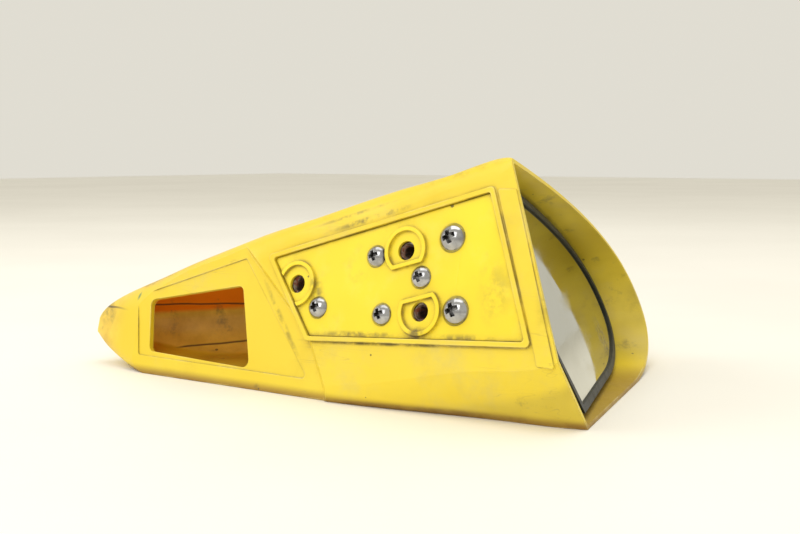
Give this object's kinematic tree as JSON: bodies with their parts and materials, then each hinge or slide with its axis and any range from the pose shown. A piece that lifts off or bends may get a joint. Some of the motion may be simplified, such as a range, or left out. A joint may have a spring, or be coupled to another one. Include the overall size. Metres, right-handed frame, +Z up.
{
  "type": "side-mounted rear-view mirror",
  "caption": "Streamlined moulded side mirror with a bullet nose, inset mounting plate with D-shaped bosses, nose opening and a recessed glass that tilts on a ball joint.",
  "frame": {"origin": "centre of the housing's box at the plane of its flat underside", "axes": "+X along the vehicle side towards the mirror opening, +Y away from the vehicle, +Z up"},
  "size_m": [0.2634, 0.1679, 0.0995],
  "materials": {
    "yellow_housing": "moulded, slightly glossy, worn and dirty",
    "yellow_plate": "moulded, satin",
    "insert_metal": "tarnished, slight rust",
    "screw_steel": "polished stainless",
    "zinc_steel": "zinc plated",
    "bracket_steel": "black electrocoat",
    "ring_nylon": "natural nylon",
    "black_plastic": "moulded, fine grain",
    "foam_tape": "closed-cell foam",
    "mirror_face": "silvered glass",
    "edging_rubber": "extruded, matt"
  },
  "bodies": {
    "housing": {"housing_shell": "yellow_housing", "mount_plate": "yellow_plate", "threaded_inserts": "insert_metal", "small_screws": "screw_steel", "large_screws": "screw_steel", "small_washers": "zinc_steel", "large_washers": "zinc_steel", "small_nuts": "zinc_steel", "large_nuts": "zinc_steel", "support_bracket": "bracket_steel", "ball_stud": "zinc_steel", "stud_washer": "zinc_steel", "stud_nut": "zinc_steel"},
    "pivot": {"friction_ring": "ring_nylon"},
    "mirror_head": {"mirror_carrier": "black_plastic", "socket_collar": "black_plastic", "collar_screws": "zinc_steel", "adhesive_pad": "foam_tape", "mirror_glass": "mirror_face", "glass_edging": "edging_rubber"}
  },
  "joints": [
    {"name": "mirror_pan", "type": "hinge", "parent": "housing", "child": "pivot", "pos_m": [0.08021, -0.00924, 0.03764], "axis": [-0.3621, -0.124, 0.9239], "range_deg": [-2.5, 2.5]},
    {"name": "mirror_tilt", "type": "hinge", "parent": "pivot", "child": "mirror_head", "pos_m": [0.08021, -0.00924, 0.03764], "axis": [-0.3239, 0.9461, 0], "range_deg": [-2.5, 2.5]}
  ]
}
